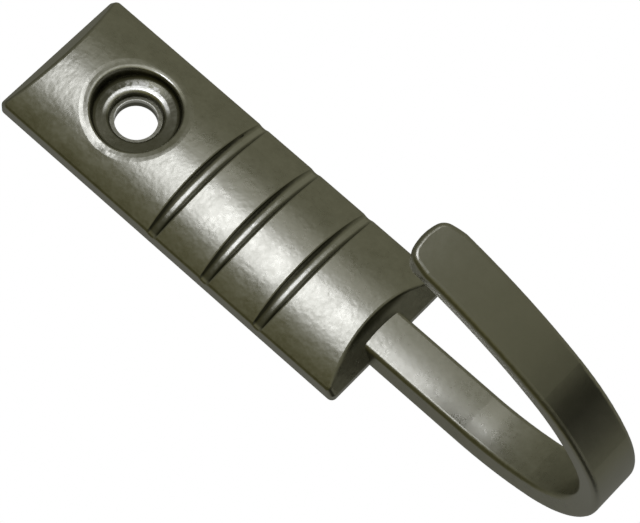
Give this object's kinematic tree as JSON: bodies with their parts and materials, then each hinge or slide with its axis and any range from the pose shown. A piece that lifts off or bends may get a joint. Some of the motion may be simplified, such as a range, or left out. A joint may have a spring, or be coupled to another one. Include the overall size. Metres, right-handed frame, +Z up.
{
  "type": "curtain holdback hook",
  "caption": "One-piece cast curtain holdback: an arched wall plate with a recessed screw hole and cross grooves, and a flat bar hook that curls forward and up, in satin nickel.",
  "frame": {"origin": "middle of the wall plate's flat back, halfway along the plate and halfway across it, on the wall's surface", "axes": "+Y goes into the wall and -Y out into the room; +Z runs up the plate, away from the hook; X runs across the plate"},
  "size_m": [0.016, 0.0282, 0.0703],
  "materials": {
    "satin_nickel": "satin"
  },
  "bodies": {
    "root": {"holdback": "satin_nickel"}
  },
  "joints": []
}
